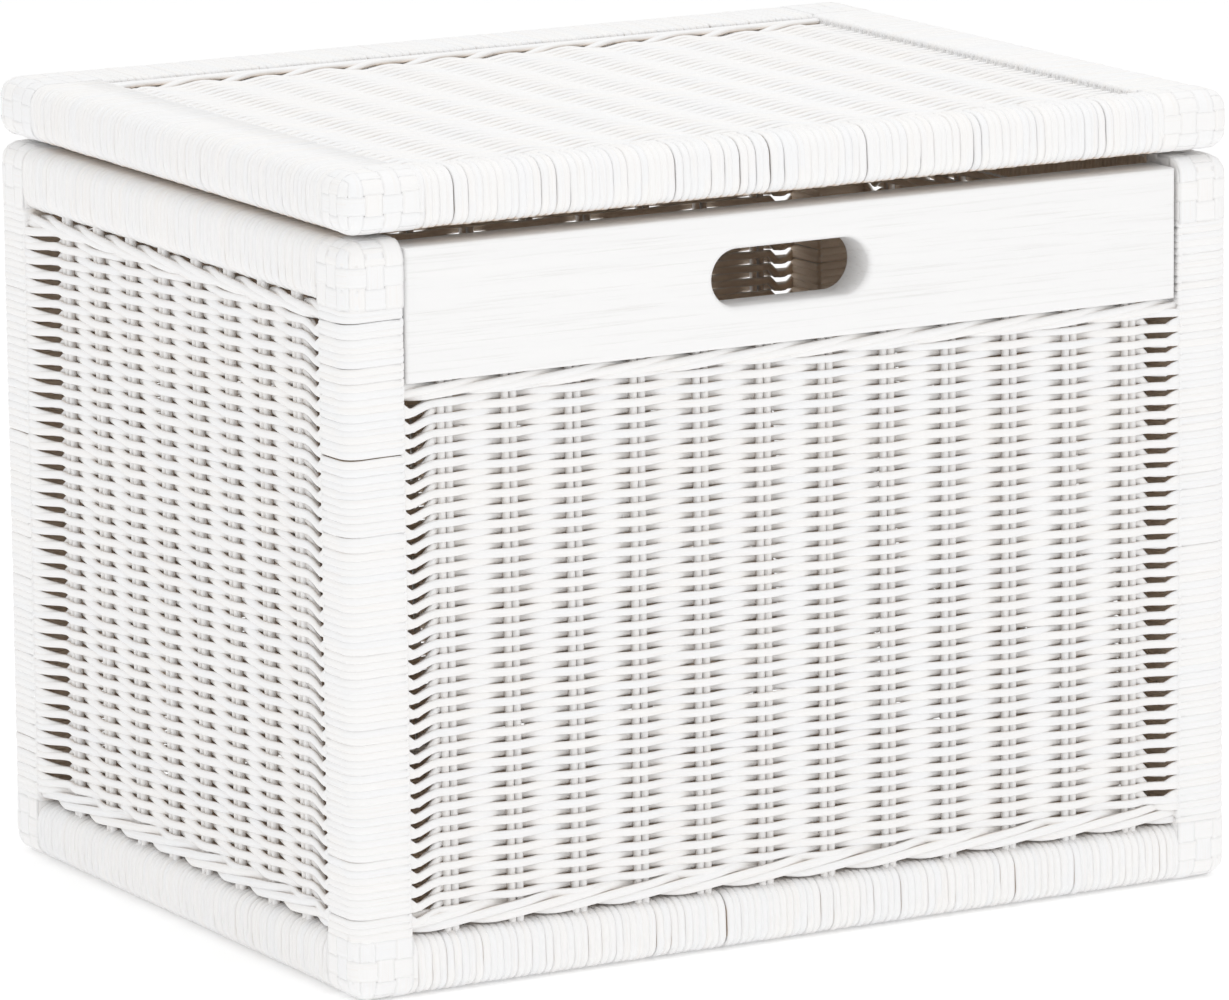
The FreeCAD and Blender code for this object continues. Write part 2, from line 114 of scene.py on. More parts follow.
# cane wound on the frame, with fine grooves where it is painted thickest. Turns stand proud and sink
# in by turns, and pairing is how much wider every second step between turns is, as a share
WIND_PITCH = 4.7 * MM
WIND_INSET = 0.35 * MM  # room for the swell between the cane and the wrap's outside
WIND_FINE = {
    "wide": 2.62 * MM, "thick": 1.5 * MM, "squareness": 0.75, "proud": 0.03 * MM, "pairing": 0.06,
}  # fmt: skip
WIND_PLAIN = {
    "wide": 2.58 * MM, "thick": 1.8 * MM, "squareness": 0.78, "proud": 0.05 * MM, "pairing": 0.06,
}  # fmt: skip
WIND_DEEP = {
    "wide": 2.32 * MM, "thick": 2.5 * MM, "squareness": 1.15, "proud": 0.2 * MM, "pairing": 0.11,
}  # fmt: skip
LOOSE_TURNS = {"share": 0.05, "step": 0.16}  # some steps are wider by this share of a step

# how uneven the work is: sizes of random changes, as lengths or as shares
UNEVEN_WEAVE = {"swing": 0.03, "wide": 0.03, "level": 0.16 * MM}
UNEVEN_STAKE = {"lean": 0.35 * MM, "bend": 0.12 * MM}
UNEVEN_WALE = 0.12 * MM
UNEVEN_WIND = {"step": 0.06, "wide": 0.03, "wander": 0.2 * MM, "swell": 0.12 * MM}
UNEVEN_PEEL = 0.02
NOISE_WAVES = 4

# the frame's corners and the caps on them
OUTER_RADIUS = 12 * MM
INNER_RADIUS = 3 * MM
TIGHTEST_RADIUS = 0.6 * MM
CAP_INNER_RADIUS = 1.5 * MM
ARC_POINTS = 6
LINER_INSET = 1.7 * MM
LINER_CELLS = 10
CAP_STEPS = 5  # points of a strip in each cell of the weave

# the front board
BOARD_GAP = 1.2 * MM  # between the board and each post
BOARD_ROUND = 2.5 * MM
SLOT = {"length": 106 * MM, "height": 34 * MM, "x": -5 * MM, "below_top": 38 * MM, "round": 4.5 * MM}
BOARD_POINTS = 128
BOARD_SHADOW = 10 * MM  # how far below the board the posts beside it are still painted

# where paint ends: cosines of the angle to the outside at which there is none and at which it is full
WOVEN_PAINT = (-0.7, -0.2)
POST_PAINT = (-0.7, -0.45)
RAIL_PAINT = (-0.99, -0.9)


def box(node):
    low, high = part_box(node)
    return np.array(low), np.array(high)


def smoothstep(low, high, value):
    t = np.clip((value - low) / (high - low), 0, 1)
    return t * t * (3 - 2 * t)


def unit(v):
    return v / np.maximum(np.linalg.norm(v, axis=-1, keepdims=True), 1e-12)


def other_axes(axis):
    return [n for n in range(3) if n != axis]


def rectangle_corners(low, high):
    """The corners of a rectangle in turn, from the low-low one on."""
    return [(low[0], low[1]), (high[0], low[1]), (high[0], high[1]), (low[0], high[1])]


def slow_noise(count, length, size):
    """Smooth random offsets along each of count strands."""
    t = np.linspace(0, 1, length)
    total = np.zeros((count, length))
    for wave in range(1, NOISE_WAVES + 1):
        phase = RANDOM.random((count, 1)) * 2 * np.pi
        strength = RANDOM.normal(0, 1, (count, 1)) / wave
        total += strength * np.sin(2 * np.pi * wave * t + phase)
    return total * size


# --- canes as tubes ------------------------------------------------------------------------------


def ring_quads(strands, length, sides, closed):
    """Quads between the rings of points of each strand, with the strands one after the other."""
    first = np.arange(strands)[:, None, None] * length * sides
    ring = np.arange(length if closed else length - 1)[None, :, None]
    spoke = np.arange(sides)[None, None, :]
    next_ring, next_spoke = (ring + 1) % length, (spoke + 1) % sides
    corners = ((ring, spoke), (ring, next_spoke), (next_ring, next_spoke), (next_ring, spoke))
    return np.stack([first + r * sides + s for r, s in corners], -1).reshape(-1, 4)


def tubes(points, side, wide, thick, squareness=1.0, closed=False):
    """Tubes along points (strands, points, 3). side is about where the wide way of the section
    lies. Returns a dict of vertices, faces and the values that the materials read."""
    points = np.asarray(points, float)
    count, length = points.shape[:2]
    if closed:
        tangent = np.roll(points, -1, 1) - np.roll(points, 1, 1)
    else:
        tangent = np.gradient(points, axis=1)
    tangent = unit(tangent)
    side = np.broadcast_to(side, points.shape)
    across = unit(np.cross(tangent, side))
    along_wide = np.cross(across, tangent)
    angle = 2 * np.pi * (np.arange(TUBE_SIDES) + 0.5) / TUBE_SIDES
    c = np.sign(np.cos(angle)) * np.abs(np.cos(angle)) ** squareness
    s = np.sign(np.sin(angle)) * np.abs(np.sin(angle)) ** squareness
    wide = np.broadcast_to(np.asarray(wide, float), (count, length))[..., None, None]
    thick = np.broadcast_to(np.asarray(thick, float), (count, length))[..., None, None]
    offset_w = wide * c[:, None]
    offset_t = thick * s[:, None]
    vertices = points[:, :, None] + along_wide[:, :, None] * offset_w + across[:, :, None] * offset_t
    normal = unit(along_wide[:, :, None] * c[:, None] + across[:, :, None] * s[:, None])

    steps = np.linalg.norm(np.diff(points, axis=1), axis=2)
    along = np.concatenate([np.zeros((count, 1)), np.cumsum(steps, 1)], 1)
    cane = np.empty(vertices.shape)
    cane[..., 0] = along[:, :, None]
    cane[..., 1] = offset_w[..., 0]
    cane[..., 2] = offset_t[..., 0]
    tone = np.broadcast_to(RANDOM.random(count)[:, None, None], vertices.shape[:3])

    ends = np.zeros((0, TUBE_SIDES), int)
    if not closed:
        starts = np.arange(count)[:, None] * length * TUBE_SIDES
        spokes = np.arange(TUBE_SIDES)
        ends = np.concatenate([starts + spokes[::-1], starts + (length - 1) * TUBE_SIDES + spokes])
    return {
        "vertices": vertices.reshape(-1, 3),
        "normal": normal.reshape(-1, 3),
        "cane": cane.reshape(-1, 3),
        "tone": tone.reshape(-1),
        "faces": [ring_quads(count, length, TUBE_SIDES, closed), ends],
    }


def piece(name, parts, material, body, nodes, paint):
    """One Blender mesh out of tubes and surfaces. paint(points, normals) gives the share of paint."""
    vertices = np.concatenate([p["vertices"] for p in parts])
    normals = np.concatenate([p["normal"] for p in parts])
    loops, sizes = [], []
    start = 0
    for part in parts:
        for faces in part["faces"]:
            if len(faces):
                loops.append((faces + start).ravel())
                sizes.append(np.full(len(faces), faces.shape[1]))
        start += len(part["vertices"])
    loops, sizes = np.concatenate(loops), np.concatenate(sizes)
    mesh = bpy.data.meshes.new(name)
    mesh.vertices.add(len(vertices))
    mesh.vertices.foreach_set("co", vertices.astype(np.float32).ravel())
    mesh.loops.add(len(loops))
    mesh.loops.foreach_set("vertex_index", loops.astype(np.int32))
    mesh.polygons.add(len(sizes))
    starts = np.concatenate([[0], np.cumsum(sizes)[:-1]])
    mesh.polygons.foreach_set("loop_start", starts.astype(np.int32))
    mesh.polygons.foreach_set("use_smooth", sizes == 4)
    mesh.update(calc_edges=True)
    mesh.validate()
    values = {"tone": np.concatenate([p["tone"] for p in parts]), "paint": paint(vertices, normals)}
    for key, value in values.items():
        attribute = mesh.attributes.new(key, "FLOAT", "POINT")
        attribute.data.foreach_set("value", value.astype(np.float32))
    attribute = mesh.attributes.new("cane", "FLOAT_VECTOR", "POINT")
    cane = np.concatenate([p["cane"] for p in parts])
    attribute.data.foreach_set("vector", cane.astype(np.float32).ravel())
    mesh.materials.append(material)
    item = bpy.data.objects.new(name, mesh)
    bpy.context.scene.collection.objects.link(item)
    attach(item, body)
    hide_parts(*nodes)
    return item


def all_painted(points, normals):
    return np.ones(len(points))


def outside_painted(outward, limits=WOVEN_PAINT, axis=None):
    """Paint on everything but the faces that look into the trunk. On canes wound round an axis, the
    grooves between them are painted like the face that they are in."""

    def share(points, normals):
        if axis is not None:
            normals = unit(normals * (1 - AXES[axis]))
        return smoothstep(*limits, normals @ np.asarray(outward, float))

    return share


# --- materials -----------------------------------------------------------------------------------

WHITE = (0.927, 0.917, 0.907)
WHITE_COOL = (0.908, 0.91, 0.916)
WHITE_WORN = (0.74, 0.66, 0.57)
NATURAL = (0.88, 0.74, 0.60)
NATURAL_DARK = (0.74, 0.585, 0.455)
NATURAL_DULL = (0.82, 0.70, 0.57)
BOARD_WHITES = ((0.885, 0.882, 0.88), (0.925, 0.92, 0.915))
BOARD_PORES = (0.7, 0.68, 0.66)
WOOD_RINGS = ((0.60, 0.50, 0.38), (0.72, 0.63, 0.50))
WOOD_FIBRES = (0.52, 0.42, 0.31)
STEEL_GREYS = ((0.50, 0.50, 0.48), (0.68, 0.68, 0.66))
GROUND_WHITES = ((0.93, 0.93, 0.93), (0.95, 0.95, 0.95))


class Nodes:
    """Short-hand for one material's node tree."""

    def __init__(self, name):
        self.material = bpy.data.materials.new(name)
        self.material.use_nodes = True
        self.tree = self.material.node_tree
        self.shader = self.tree.nodes["Principled BSDF"]

    def add(self, kind, **values):
        item = self.tree.nodes.new("ShaderNode" + kind)
        for key, value in values.items():
            setattr(item, key, value)
        return item

    def link(self, output, socket):
        self.tree.links.new(output, socket)

    def shade(self, name, value):
        """Sets one input of the shader to a constant or to another node's output."""
        if isinstance(value, (int, float, tuple)):
            self.shader.inputs[name].default_value = value
        else:
            self.link(value, self.shader.inputs[name])

    def attribute(self, name):
        return self.add("Attribute", attribute_name=name)

    def place(self):
        return self.add("TexCoord").outputs["Object"]

    def noise(self, vector, scale, detail):
        """Noise at a scale of its own along each axis of vector."""
        mapping = self.add("Mapping")
        mapping.inputs["Scale"].default_value = scale
        self.link(vector, mapping.inputs["Vector"])
        item = self.add("TexNoise")
        item.inputs["Scale"].default_value = 1.0
        item.inputs["Detail"].default_value = detail
        self.link(mapping.outputs["Vector"], item.inputs["Vector"])
        return item.outputs["Fac"]

    def mix(self, factor, a, b):
        item = self.add("Mix", data_type="RGBA")
        for socket, value in zip((0, 6, 7), (factor, a, b)):
            if isinstance(value, (int, float)):
                item.inputs[socket].default_value = value
            elif isinstance(value, tuple):
                item.inputs[socket].default_value = (*value, 1)
            else:
                self.link(value, item.inputs[socket])
        return item.outputs[2]

    def math(self, operation, a, b, clamp=False):
        item = self.add("Math", operation=operation, use_clamp=clamp)
        for socket, value in zip(item.inputs, (a, b)):
            if isinstance(value, (int, float)):
                socket.default_value = value
            else:
                self.link(value, socket)
        return item.outputs[0]

    def scaled(self, value, factor):
        return self.math("MULTIPLY", value, factor)

    def spread(self, value, low, reach):
        """A value from 0 to 1 turned into one from low to low + reach."""
        return self.math("ADD", low, self.scaled(value, reach))

    def above(self, value, start, gain):
        """What value has over start, times gain and held between 0 and 1."""
        return self.math("MULTIPLY", self.math("SUBTRACT", value, start), gain, clamp=True)

    def bump(self, height, strength, distance):
        item = self.add("Bump")
        item.inputs["Strength"].default_value = strength
        item.inputs["Distance"].default_value = distance
        self.link(height, item.inputs["Height"])
        self.shade("Normal", item.outputs["Normal"])


def cane_material(name, paint_shift=0.0):
    """White paint over cane, with bare cane where the spray did not reach."""
    m = Nodes(name)
    cane = m.attribute("cane").outputs["Vector"]
    tone = m.attribute("tone").outputs["Fac"]
    paint = m.attribute("paint").outputs["Fac"]
    streaks = m.noise(cane, (30, 900, 900), 4.0)
    patches = m.noise(cane, (25, 60, 60), 2.0)
    bare = m.mix(streaks, NATURAL_DARK, NATURAL)
    bare = m.mix(m.scaled(tone, 0.5), bare, NATURAL_DULL)
    white = m.mix(tone, WHITE_COOL, WHITE)
    white = m.mix(m.scaled(m.above(patches, 0.66, 2.5), 0.25), white, WHITE_WORN)
    cover = m.math("ADD", paint, m.scaled(m.math("SUBTRACT", streaks, 0.5), 0.5))
    cover = m.math("ADD", cover, paint_shift, clamp=True)
    m.shade("Base Color", m.mix(cover, bare, white))
    m.shade("Roughness", m.spread(streaks, 0.62, 0.2))
    m.shade("Specular IOR Level", 0.35)
    m.bump(streaks, 0.35, 0.4 * MM)
    return m.material


def board_material():
    """Satin white paint over wood whose grain still shows along the board."""
    m = Nodes("painted_board")
    place = m.place()
    grain = m.noise(place, (3, 40, 150), 5.0)
    pores = m.noise(place, (14, 200, 900), 2.0)
    lines = m.above(pores, 0.55, 3.0)
    base = m.mix(grain, *BOARD_WHITES)
    m.shade("Base Color", m.mix(m.scaled(lines, 0.45), base, BOARD_PORES))
    m.shade("Roughness", m.spread(grain, 0.42, 0.15))
    m.bump(m.math("SUBTRACT", grain, m.scaled(lines, 0.6)), 0.7, 0.5 * MM)
    return m.material


def wood_material():
    m = Nodes("bare_wood")
    place = m.place()
    rings = m.noise(place, (35, 35, 12), 4.0)
    fibres = m.noise(place, (400, 400, 60), 3.0)
    base = m.mix(rings, *WOOD_RINGS)
    m.shade("Base Color", m.mix(m.scaled(fibres, 0.4), base, WOOD_FIBRES))
    m.shade("Roughness", 0.7)
    m.bump(fibres, 0.3, 0.4 * MM)
    return m.material


def steel_material():
    m = Nodes("hinge_steel")
    place = m.place()
    brushed = m.noise(place, (60, 900, 900), 3.0)
    tarnish = m.noise(place, (90, 90, 90), 3.0)
    m.shade("Base Color", m.mix(tarnish, *STEEL_GREYS))
    m.shade("Metallic", 1.0)
    m.shade("Roughness", m.spread(brushed, 0.28, 0.25))
    m.bump(brushed, 0.15, 0.2 * MM)
    return m.material


PAINTED = cane_material("painted_cane")
FLOOR_CANE = cane_material("bare_cane", -0.55)
BOARD = board_material()
WOOD = wood_material()
STEEL = steel_material()


# --- woven panels --------------------------------------------------------------------------------


def panel_axes(across, stack, outward):
    """Turns coordinates (across, stack, outward) of a panel into points."""
    return lambda a, s, o: a[..., None] * across + s[..., None] * stack + o[..., None] * outward


def stake_places(node, axis, pairs):
    """Middles of the pairs along one axis, from the CAD canes' box."""
    low, high = box(node)
    half_pair = (STAKE_SPACING + 2 * STAKE_RADIUS) / 2
    return np.linspace(low[axis] + half_pair, high[axis] - half_pair, pairs)


def stake_index(places, x):
    """Counts stakes along x: a whole number at each stake, and it runs on past the last ones."""
    pitch = places[1] - places[0]
    return (x - places[0]) / pitch


def point_count(span, places, steps):
    return int((span[1] - span[0]) / (places[1] - places[0]) * steps) + 1


def weave(
    span, stack, places, middle, axes,
    parity=0, turn=1.0, flatness=1.0, climb=0.0, drops=(0, 0), partings=(0, 0),
):  # fmt: skip
    """Plain weave of single canes along span over stakes at places, with its rows stacked from
    stack[0] to stack[1]. Past the last stake the canes go on in pairs, one behind the other. turn
    scales how far past it they pair up, and flatness how far they swing to either side. With climb,
    they come out that far at their ends, onto the posts, where they have dropped a little and part
    again. Returns the canes' points and widths."""
    rows = int(round((stack[1] - stack[0]) / ROW_PITCH))
    pitch = (stack[1] - stack[0]) / rows
    length = point_count(span, places, WEAVE_STEPS)
    x = np.linspace(*span, length)[None].repeat(rows, 0)
    row = np.arange(rows)[:, None]
    swing = (STAKE_RADIUS + WEAVER["thick"]) * flatness
    swing = swing * (1 + slow_noise(rows, length, UNEVEN_WEAVE["swing"]))
    index = np.clip(stake_index(places, x), 0, len(places) - 1)
    wave = np.cos(np.pi * (index + row + parity))
    depth = swing * np.sign(wave) * np.abs(wave) ** WEAVE_SHARPNESS
    level = stack[0] + (row + 0.5) * pitch + slow_noise(rows, length, UNEVEN_WEAVE["level"])
    ends = [(places[0] - x, 0), (x - places[-1], len(places) - 1)]
    for (beyond, last), drop, parting in zip(ends, drops, partings):
        beyond = beyond / turn
        front = np.cos(np.pi * (last + row + parity))
        hinder = front < 0
        closing = smoothstep(*PAIR_UP, beyond)
        depth = depth * (1 - closing) + front * WEAVER["thick"] * closing
        on_its_way = np.exp(-(((beyond - BULGE["at"]) / BULGE["spread"]) ** 2))
        depth = depth + np.where(hinder, BULGE["out"], 0) * on_its_way
        lowered = np.where(hinder & (row > 0), SINK_ROWS * pitch, 0)
        lowered = lowered * smoothstep(*SINK, beyond)
        if climb:
            edge = beyond.max() - POST_LAP
            depth = depth + (climb - depth) * smoothstep(CLIMB_START, edge + CLIMB_END, beyond)
            lowered = lowered * (1 - np.clip((beyond - parting) / (edge - parting), 0, 1))
            lowered = lowered + drop * smoothstep(DROP_START, edge, beyond)
        level = level - lowered
    uneven = slow_noise(rows, length, UNEVEN_WEAVE["wide"])
    wide = WEAVER["wide"] * (1 + uneven + RANDOM.normal(0, UNEVEN_WEAVE["wide"], (rows, 1)))
    return axes(x, level, middle + depth), wide


def stakes(places, span, middle, axes):
    """Pairs of canes along span, each pair leaning a little."""
    points = []
    run = np.linspace(*span, STAKE_STEPS)
    for place in places:
        lean, _ = RANDOM.normal(0, UNEVEN_STAKE["lean"], 2)
        for side in (-0.5, 0.5):
            x = place + side * STAKE_SPACING + slow_noise(1, STAKE_STEPS, UNEVEN_STAKE["bend"])
            x = x + lean * np.linspace(-1, 1, STAKE_STEPS)
            points.append(axes(x, run[None], np.full((1, STAKE_STEPS), middle)))
    return np.concatenate(points)


def periodic(share, places, values, soften=0.05):
    """Straight runs between values at places round a cycle of 1, with their corners softened."""
    offsets = (-soften, 0, soften)
    return sum(np.interp(share + o, places, values, period=1) for o in offsets) / len(offsets)


def wale(span, stack, places, middle, axes, lean=1):
    """A band of three canes. Each passes over two stakes, rising as it goes, and behind the third."""
    length = point_count(span, places, WALE_STEPS)
    x = np.linspace(*span, length)
    share = (lean * stake_index(places, x) + np.arange(3)[:, None] + 0.5) / 3
    rise = periodic(share, (0, 2 / 3), (-1, 1))
    reach = (stack[1] - stack[0]) / 2 - WEAVER["wide"] + BAND_MARGIN
    level = (stack[0] + stack[1]) / 2 + reach * rise + slow_noise(3, length, UNEVEN_WALE)
    out = periodic(share, (0.1, 0.57, 5 / 6), (1, 1, -1.15))
    depth = middle + (STAKE_RADIUS + WEAVER["thick"]) * out - BAND_TILT * rise
    return axes(x, level, depth)


def band_levels(node, axis):
    """The two bars of a band node along one axis: (lowest bar's span, highest bar's span)."""
    values = np.unique(np.round([v.co[axis] for v in frame["nodes"][node].data.vertices], 6))
    gap = int(np.argmax(np.diff(values)))
    return (values[0], values[gap]), (values[gap + 1], values[-1])


def woven_tubes(points, side, wide, cane):
    return tubes(points, side, wide, cane["thick"], cane["squareness"])


def wall_frame(wall):
    """(number of the axis along it, outward vector, axes function) of an upright wall."""
    sign = SIGNS[wall]
    if wall in ("front", "back"):
        return 0, Y * sign, panel_axes(X, Z, Y * sign)
    return 1, X * sign, panel_axes(Y, Z, X * sign)


def wall_span(node, along, lap):
    """(span along the wall with lap at both ends, distance of its middle plane from the origin)."""
    low, high = box(node)
    middle = np.abs([low[1 - along], high[1 - along]]).mean()
    return (low[along] - lap, high[along] + lap), middle


def wall_panels():
    for wall in WALLS:
        along, outward, axes = wall_frame(wall)
        span, middle = wall_span(f"weave_{wall}", along, POST_LAP)
        low, high = box(f"weave_{wall}")
        places = stake_places(f"stakes_{wall}", along, PAIRS[wall])
        post_face = np.abs(box("post_wrap_front_left")[0][1 - along])
        points, wide = weave(
            span,
            (low[2] - ROW_PITCH, high[2] + ROW_PITCH),
            places,
            middle,
            axes,
            parity=0 if wall in ("front", "left") else 1,
            flatness=WALL_FLATNESS,
            climb=post_face - middle - CLIMB_MARGIN,
            drops=END_DROPS[wall],
            partings=PARTING[wall],
        )
        paint = outside_painted(outward)
        part = woven_tubes(points, Z, wide, WEAVER)
        name, node = f"woven_panel_{wall}", f"weave_{wall}"
        piece(name, [part], PAINTED, TRUNK, [node], paint)

        name, node = f"paired_stakes_{wall}", f"stakes_{wall}"
        low, high = box(node)
        points = stakes(places, (low[2], high[2]), middle, axes)
        part = tubes(points, outward, STAKE_RADIUS, STAKE_RADIUS)
        piece(name, [part], PAINTED, TRUNK, [node], paint)


def wall_bands():
    for wall in WALLS:
        along, outward, axes = wall_frame(wall)
        node = f"twined_bands_{wall}"
        span, middle = wall_span(node, along, BAND_LAP)
        places = stake_places(f"stakes_{wall}", along, PAIRS[wall])
        points = [
            wale(span, stack, places, middle, axes, lean)
            for stack, lean in zip(band_levels(node, 2), BAND_LEANS[wall])
        ]
        parts = [woven_tubes(p, Z, WALER["wide"], WALER) for p in points]
        paint = outside_painted(outward)
        piece(f"twining_{wall}", parts, PAINTED, TRUNK, [node], paint)


def flat_panel(prefix, body, material, outward):
    """The woven panel of the lid or the floor on its paired stakes, with the lid's bands."""
    axes = panel_axes(X, Y, Z)
    paint = outside_painted(outward)
    node = f"{prefix}_weave"
    low, high = box(node)
    middle = (low[2] + high[2]) / 2
    places = stake_places(f"{prefix}_stakes", 0, PAIRS[prefix])
    span = (low[0] - FLAT_LAP, high[0] + FLAT_LAP)
    points, wide = weave(span, (low[1], high[1]), places, middle, axes, **FLAT_PANEL)
    part = woven_tubes(points, Y, wide, WEAVER)
    piece(f"{prefix}_woven_panel", [part], material, body, [node], paint)

    node = f"{prefix}_stakes"
    low, high = box(node)
    points = stakes(places, (low[1], high[1]), middle, axes)
    part = tubes(points, Z, STAKE_RADIUS, STAKE_RADIUS)
    piece(f"{prefix}_paired_stakes", [part], material, body, [node], paint)

    node = f"{prefix}_twined_bands"
    if node in frame["nodes"]:
        low, high = box(node)
        stacks = band_levels(node, 1)
        points = [wale((low[0], high[0]), stack, places, middle, axes) for stack in stacks]
        parts = [woven_tubes(p, Y, WALER["wide"], WALER) for p in points]
        piece(f"{prefix}_twining", parts, material, body, [node], paint)


# --- wound rails and posts -----------------------------------------------------------------------


def rounded_outline(low, high, radii):
    """Points round a rectangle, from the low-low corner on. radii go round the same way."""
    corners = rectangle_corners(low, high)
    inward = [(1, 1), (-1, 1), (-1, -1), (1, -1)]
    points = []
    for number, (corner, turn, radius) in enumerate(zip(corners, inward, radii)):
        angles = np.pi + np.pi / 2 * (number + np.linspace(0, 1, ARC_POINTS))
        centre = np.array(corner) + radius * np.array(turn)
        arc = centre + radius * np.stack([np.cos(angles), np.sin(angles)], 1)
        following = corners[(number + 1) % 4]
        halfway = (np.array(corner) + np.array(following)) / 2
        along = number % 2
        middle = halfway.copy()
        middle[1 - along] = arc[-1][1 - along]
        points += [*arc, middle]
    return np.array(points)


def wound(low, high, axis, radii, cane, pitch=WIND_PITCH):
    """Cane wound round a box along axis, turn by turn, with a straight turn at both ends. radii are
    those of its outline's corners, in the order of rounded_outline on the other two axes."""
    others = other_axes(axis)
    shrink = cane["thick"] + WIND_INSET
    radii = [max(r - shrink, TIGHTEST_RADIUS) for r in radii]
    outline = rounded_outline(low[others] + shrink, high[others] - shrink, radii)
    per_turn = len(outline)
    turns = 2 * int(round((high[axis] - low[axis]) / pitch / 2))
    steps = 1 + cane["pairing"] * (-1.0) ** np.arange(turns)
    steps = steps + RANDOM.normal(0, UNEVEN_WIND["step"], turns)
    steps[RANDOM.random(turns) < LOOSE_TURNS["share"]] += LOOSE_TURNS["step"]
    edges = np.concatenate([[0], np.cumsum(steps)])
    edges = low[axis] + edges / edges[-1] * (high[axis] - low[axis])
    edges = np.concatenate([edges[:1], edges, edges[-1:]])
    turns += 2
    progress = np.arange(turns * per_turn) / per_turn
    place = np.interp(progress, np.arange(turns + 1), edges)
    wander = RANDOM.normal(0, UNEVEN_WIND["wander"], 2 * turns + 1)
    place += np.interp(2 * progress, np.arange(2 * turns + 1), wander)
    swell = RANDOM.normal(0, UNEVEN_WIND["swell"], turns) + cane["proud"] * (-1.0) ** np.arange(turns)
    swell = np.clip(np.repeat(swell, per_turn), -WIND_INSET, WIND_INSET)
    ring = np.tile(outline, (turns, 1))
    ring = ring + unit(ring - outline.mean(0)) * swell[:, None]
    points = np.empty((1, turns * per_turn, 3))
    points[0, :, axis] = place
    points[0][:, others] = ring
    wide = cane["wide"] * np.repeat(1 + RANDOM.normal(0, UNEVEN_WIND["wide"], turns), per_turn)
    part = woven_tubes(points, AXES[axis], wide, cane)
    part["tone"] = np.repeat(RANDOM.random(turns), per_turn * TUBE_SIDES)
    return part


def outline_radii(axis, outward):
    """Outer corners are round and inner ones tight. outward is the sign on each axis, or 0."""
    radii = []
    for corner in rectangle_corners((-1, -1), (1, 1)):
        outer = all(outward[o] in (0, sign) for o, sign in zip(other_axes(axis), corner))
        radii.append(OUTER_RADIUS if outer else INNER_RADIUS)
    return radii


def post_painted(outward):
    """Paint on a post: none on its inner faces, save where they show beside bands and board."""
    outer_faces = outside_painted(unit(outward.astype(float)), POST_PAINT, 2)
    rows_low, rows_high = (corner[2] for corner in box("weave_left"))
    side_plane = np.abs(np.mean(box("weave_left"), 0)[0])
    front_plane = np.abs(np.mean(box("weave_front"), 0)[1])
    board_low, board_high = box("front_board")

    def share(points, normals):
        x, y, z = points.T
        beside_bands = (z < rows_low) | (z > rows_high)
        in_the_open = (np.abs(x) > side_plane) | (np.abs(y) > front_plane)
        beside_board = (z > board_low[2] - BOARD_SHADOW) & (y < board_high[1])
        painted = (beside_bands & in_the_open) | beside_board
        return np.where(painted, 1.0, outer_faces(points, normals))

    return share


def wound_rail(name, body, node, along, outward, cane, painted_side):
    part = wound(*box(node), along, outline_radii(along, outward), cane)
    paint = outside_painted(painted_side, RAIL_PAINT, along)
    piece(name, [part], PAINTED, body, [node], paint)


def wound_frame():
    """The rails wall by wall, with no top rail at the front, where the board is, and the posts."""
    for wall in WALLS:
        along, outward, _ = wall_frame(wall)
        levels = ("bottom",) if wall == "front" else ("bottom", "top")
        cane = WIND_PLAIN if along == 0 else WIND_DEEP
        for level in levels:
            node = f"{level}_rail_wrap_{wall}"
            wound_rail(f"{level}_rail_winding_{wall}", TRUNK, node, along, outward, cane, outward)
        cane = WIND_FINE if along == 0 else WIND_DEEP
        wound_rail(f"lid_winding_{wall}", LID, f"lid_rail_wrap_{wall}", along, outward, cane, Z)
    for end, side in CORNERS:
        name, node = f"post_winding_{end}_{side}", f"post_wrap_{end}_{side}"
        outward = np.array([SIGNS[side], SIGNS[end], 0])
        part = wound(*box(node), 2, outline_radii(2, outward), WIND_FINE, pitch=ROW_PITCH)
        paint = post_painted(outward)
        piece(name, [part], PAINTED, TRUNK, [node], paint)


# --- woven corner caps ---------------------------------------------------------------------------


def rounded_box(points, low, high, round_low, round_high):
    """Points moved in from a box's square edges to its rounded ones, and the way out from there."""
    core = np.clip(points, low + round_low, high - round_high)
    out = points - core
    reach = np.abs(out).max(-1, keepdims=True)
    return core + unit(out) * reach, unit(out)


